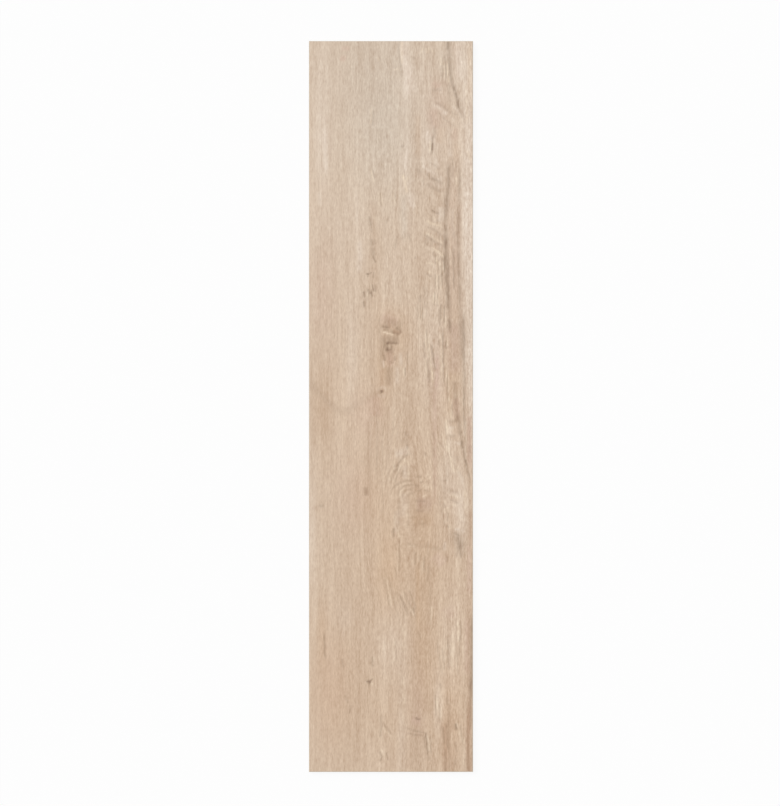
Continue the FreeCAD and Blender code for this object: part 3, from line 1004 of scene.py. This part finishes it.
def linear(hex_colour):
    """An sRGB hex colour as the linear RGBA that a shader takes."""
    channels = np.array([int(hex_colour[i:i + 2], 16) for i in (1, 3, 5)]) / 255
    low = channels <= 0.04045
    return (*np.where(low, channels / 12.92, ((channels + 0.055) / 1.055) ** 2.4), 1.0)


def add(tree, kind, links=None, **settings):
    """The outputs of a new node; links names its inputs and gives each a value or another node's output."""
    node = tree.nodes.new(kind)
    for name, value in settings.items():
        setattr(node, name, value)
    for socket, value in (links or {}).items():
        if isinstance(value, bpy.types.NodeSocket):
            tree.links.new(value, node.inputs[socket])
        else:
            node.inputs[socket].default_value = value
    return node.outputs


def calculate(tree, operation, *values):
    """The result of one arithmetic operation."""
    return add(tree, "ShaderNodeMath", dict(enumerate(values)), operation=operation)[0]


def rescale(tree, value, old, new, **settings):
    """A value carried over from its old range to a new one."""
    links = {"Value": value, "From Min": old[0], "From Max": old[1], "To Min": new[0], "To Max": new[1]}
    return add(tree, "ShaderNodeMapRange", links, **settings)[0]


def mix(tree, factor, first, second, **settings):
    """A mix of two colours: all of the first where the factor is 0, and of the second where it is 1."""
    links = {"Factor": factor, "A": first, "B": second}
    return add(tree, "ShaderNodeMix", links, data_type="RGBA", **settings)["Result"]


def noise_at(tree, place, scale, detail, roughness=0.5):
    """Smooth noise from 0 to 1."""
    links = {"Vector": place, "Scale": scale, "Detail": detail, "Roughness": roughness}
    return add(tree, "ShaderNodeTexNoise", links)["Fac"]


def new_material(name):
    """An empty node material, and the tree to build it in."""
    material = bpy.data.materials.new(name)
    material.use_nodes = True
    material.node_tree.nodes.clear()
    return material, material.node_tree


# Matt glaze over an inkjet print of pale oak: a low, even sheen, with the ink broken into fibres.
glaze, tree = new_material("matt_glaze_oak_print")
INK_COLOURS = {
    "ash": "#d1c1af",
    "tan": "#c8a787",
    "rose": "#d0b29e",
    "pale": "#e4d2c0",
    "russet": "#a57d5f",
    "umber": "#6d4f34",
    "cream": "#f3dfc4",
}
# Width and length in mm, and how strongly each shades the wood. The hairlines are as fine as on real oak.
# They vanish at the photo's distance, so the other three are drawn wider than real ones to show there.
FIBRES = {
    "hairlines": (0.45, 7.0, 0.7),
    "pores": (1.6, 6.0, 1.0),
    "fibres": (2.5, 18.0, 0.75),
    "rays": (3.4, 70.0, 0.55),
}
BAND_SHADE = 0.10  # how strongly the growth bands do
MIDDLE = 0.5  # of the noise, and of the shade from dark to pale
BROKEN_INKS = ("russet", "umber", "cream")  # the fibres show through these
PORE_DEPTH, HAIRLINE_DEPTH = 0.15 * MM, 0.06 * MM
along_grain = add(tree, "ShaderNodeAttribute", attribute_name="grain")["Vector"]
shade = add(tree, "ShaderNodeSeparateXYZ", {"Vector": along_grain})["Z"]
shade = calculate(tree, "MULTIPLY", shade, BAND_SHADE)
noise = {}
for name, (across_mm, along_mm, strength) in FIBRES.items():
    drawn_out = add(
        tree, "ShaderNodeMapping", {"Vector": along_grain, "Scale": (1 / across_mm, 1 / along_mm, 0)}
    )[0]
    noise[name] = noise_at(tree, drawn_out, scale=1.0, detail=1.0, roughness=0.7)
    centred = calculate(tree, "SUBTRACT", noise[name], MIDDLE)
    shade = calculate(tree, "MULTIPLY_ADD", centred, strength, shade)
strength_here = add(tree, "ShaderNodeAttribute", attribute_name="fibre_strength")["Fac"]
shade = calculate(tree, "MULTIPLY_ADD", shade, strength_here, MIDDLE)

colour = linear("#d3bca5")  # the ground under the inks
for ink, hex_colour in INK_COLOURS.items():
    amount = add(tree, "ShaderNodeAttribute", attribute_name=ink)["Fac"]
    if ink in BROKEN_INKS:
        broken = rescale(tree, noise["fibres"], old=(0.35, 0.65), new=(0.75, 1.25), clamp=False)
        amount = calculate(tree, "MULTIPLY", amount, broken)
    colour = mix(tree, amount, colour, linear(hex_colour))
# Dark fibres are browner than pale ones, so blue falls more than red.
DARK_FIBRE, PALE_FIBRE = (0.758, 0.684, 0.625, 1), (1.242, 1.316, 1.375, 1)
fibre_tint = mix(tree, shade, DARK_FIBRE, PALE_FIBRE, clamp_factor=False)
shaded = mix(tree, 1.0, colour, fibre_tint, blend_type="MULTIPLY")
bump = add(tree, "ShaderNodeBump", {"Height": noise["pores"], "Strength": 0.5, "Distance": PORE_DEPTH})
bump = add(
    tree,
    "ShaderNodeBump",
    {"Height": noise["hairlines"], "Strength": 0.5, "Distance": HAIRLINE_DEPTH, "Normal": bump[0]},
)
glaze_shader = add(
    tree,
    "ShaderNodeBsdfPrincipled",
    {"Base Color": shaded, "Roughness": 0.55, "IOR": 1.5, "Normal": bump[0]},
)
add(tree, "ShaderNodeOutputMaterial", {"Surface": glaze_shader[0]})

# Bare porcelain stoneware on the sides and the back: dense, dull and finely speckled, with the grinder's
# lines along the sides. The ribs of the back keep the white wash that stops a tile sticking to the kiln's
# rollers. On a real tile the speckle and the lines are finer. They are drawn coarser to show.
SPECKLE = 1.5 * MM
WASH_DEPTH, WASH_PATCH = 0.1 * MM, 9 * MM
LINE_LENGTH, LINE_SPACING, LINE_DEPTH = 60 * MM, 0.7 * MM, 0.1 * MM
body, tree = new_material("bare_porcelain_body")
place = add(tree, "ShaderNodeTexCoord")["Object"]
speckle = noise_at(tree, place, scale=1 / SPECKLE, detail=3.0)
spread = rescale(tree, speckle, old=(0.3, 0.7), new=(0.0, 1.0))
fired = mix(tree, spread, linear("#c8b9a5"), linear("#d6c9b7"))
height = add(tree, "ShaderNodeSeparateXYZ", {"Vector": place})["Z"]
on_rib = rescale(tree, height, old=(0.0, WASH_DEPTH), new=(1.0, 0.0))
patchy = noise_at(tree, place, scale=1 / WASH_PATCH, detail=4.0)
worn = rescale(tree, patchy, old=(0.35, 0.6), new=(0.25, 0.95))
wash = calculate(tree, "MULTIPLY", on_rib, worn)
washed = mix(tree, wash, fired, linear("#e9e5dd"))
line_scale = (1 / LINE_LENGTH, 1 / LINE_LENGTH, 1 / LINE_SPACING)
level = add(tree, "ShaderNodeMapping", {"Vector": place, "Scale": line_scale})[0]
grinder_lines = noise_at(tree, level, scale=1.0, detail=2.0)
scored = add(
    tree, "ShaderNodeBump", {"Height": grinder_lines, "Strength": 0.4, "Distance": LINE_DEPTH}
)[0]
body_shader = add(
    tree, "ShaderNodeBsdfPrincipled", {"Base Color": washed, "Roughness": 0.8, "IOR": 1.5, "Normal": scored}
)
add(tree, "ShaderNodeOutputMaterial", {"Surface": body_shader[0]})

tile_mesh.materials.append(glaze)
tile_mesh.materials.append(body)
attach(tile, "root")
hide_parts("plank_tile")

# The studio: a plain white floor that keeps a faint shadow, soft light all round and one broad soft lamp.
FLOOR_HALF = 20  # metres from the middle to each side
FLOOR_DROP = 0.1 * MM  # just clear of the ribs
WHITE = linear("#ffffff")
floor_mesh = bpy.data.meshes.new("floor")
floor_grid = bmesh.new()
bmesh.ops.create_grid(floor_grid, x_segments=1, y_segments=1, size=FLOOR_HALF)
bmesh.ops.translate(floor_grid, vec=(0, 0, -FLOOR_DROP), verts=floor_grid.verts)
floor_grid.to_mesh(floor_mesh)
floor_grid.free()
floor = bpy.data.objects.new("floor", floor_mesh)
scene.collection.objects.link(floor)
paper, tree = new_material("white_floor")


def seen_ray(tree):
    """1 for a ray that shows the background to the camera, straight or through gloss or glass."""
    rays = add(tree, "ShaderNodeLightPath")
    seen_or_glossy = calculate(tree, "MAXIMUM", rays["Is Camera Ray"], rays["Is Glossy Ray"])
    return calculate(tree, "MAXIMUM", seen_or_glossy, rays["Is Transmission Ray"])


WHITE_SHARE = 0.9  # the rest is lit like paper, and shows the shadow
whitened = calculate(tree, "MULTIPLY", seen_ray(tree), WHITE_SHARE)
matt = add(tree, "ShaderNodeBsdfDiffuse", {"Color": linear("#f3f3f3")})[0]
white = add(tree, "ShaderNodeEmission", {"Color": WHITE, "Strength": 1.0})[0]
floor_mix = add(tree, "ShaderNodeMixShader", {"Fac": whitened, 1: matt, 2: white})[0]
add(tree, "ShaderNodeOutputMaterial", {"Surface": floor_mix})
floor_mesh.materials.append(paper)

world = bpy.data.worlds.new("studio")
scene.world = world
world.use_nodes = True
tree = world.node_tree
tree.nodes.clear()
light = add(tree, "ShaderNodeBackground", {"Color": WHITE, "Strength": 0.5})[0]
backdrop = add(tree, "ShaderNodeBackground", {"Color": WHITE, "Strength": 1.0})[0]
sky = add(tree, "ShaderNodeMixShader", {"Fac": seen_ray(tree), 1: light, 2: backdrop})[0]
add(tree, "ShaderNodeOutputWorld", {"Surface": sky})

LAMP_STRENGTH, LAMP_SPREAD = 1.7, 40  # the spread in degrees
LAMP_TURNS = (-20, -28, 0)  # degrees about x, y and z from straight down
lamp_data = bpy.data.lights.new("soft_lamp", "SUN")
lamp_data.energy = LAMP_STRENGTH
lamp_data.angle = np.radians(LAMP_SPREAD)
lamp = bpy.data.objects.new("soft_lamp", lamp_data)
lamp.rotation_euler = np.radians(LAMP_TURNS)
scene.collection.objects.link(lamp)

# The camera looks straight down on the face, with the plank's far end at the top of the picture.
IMAGE_HEIGHT = 806  # pixels
MM_PER_PIXEL = 1.2311
LOOK_AT = (-1.23, 4.31)  # mm from the tile's centre to the middle of the picture
LENS = 100  # mm
camera_data = bpy.data.cameras.new("camera")
camera_data.lens = LENS
camera = bpy.data.objects.new("camera", camera_data)
seen_height = IMAGE_HEIGHT * MM_PER_PIXEL * MM
stand_off = seen_height * camera_data.lens / camera_data.sensor_width
camera.location = (LOOK_AT[0] * MM, LOOK_AT[1] * MM, thickness + stand_off)
scene.collection.objects.link(camera)
scene.camera = camera
scene.view_settings.view_transform = "Standard"
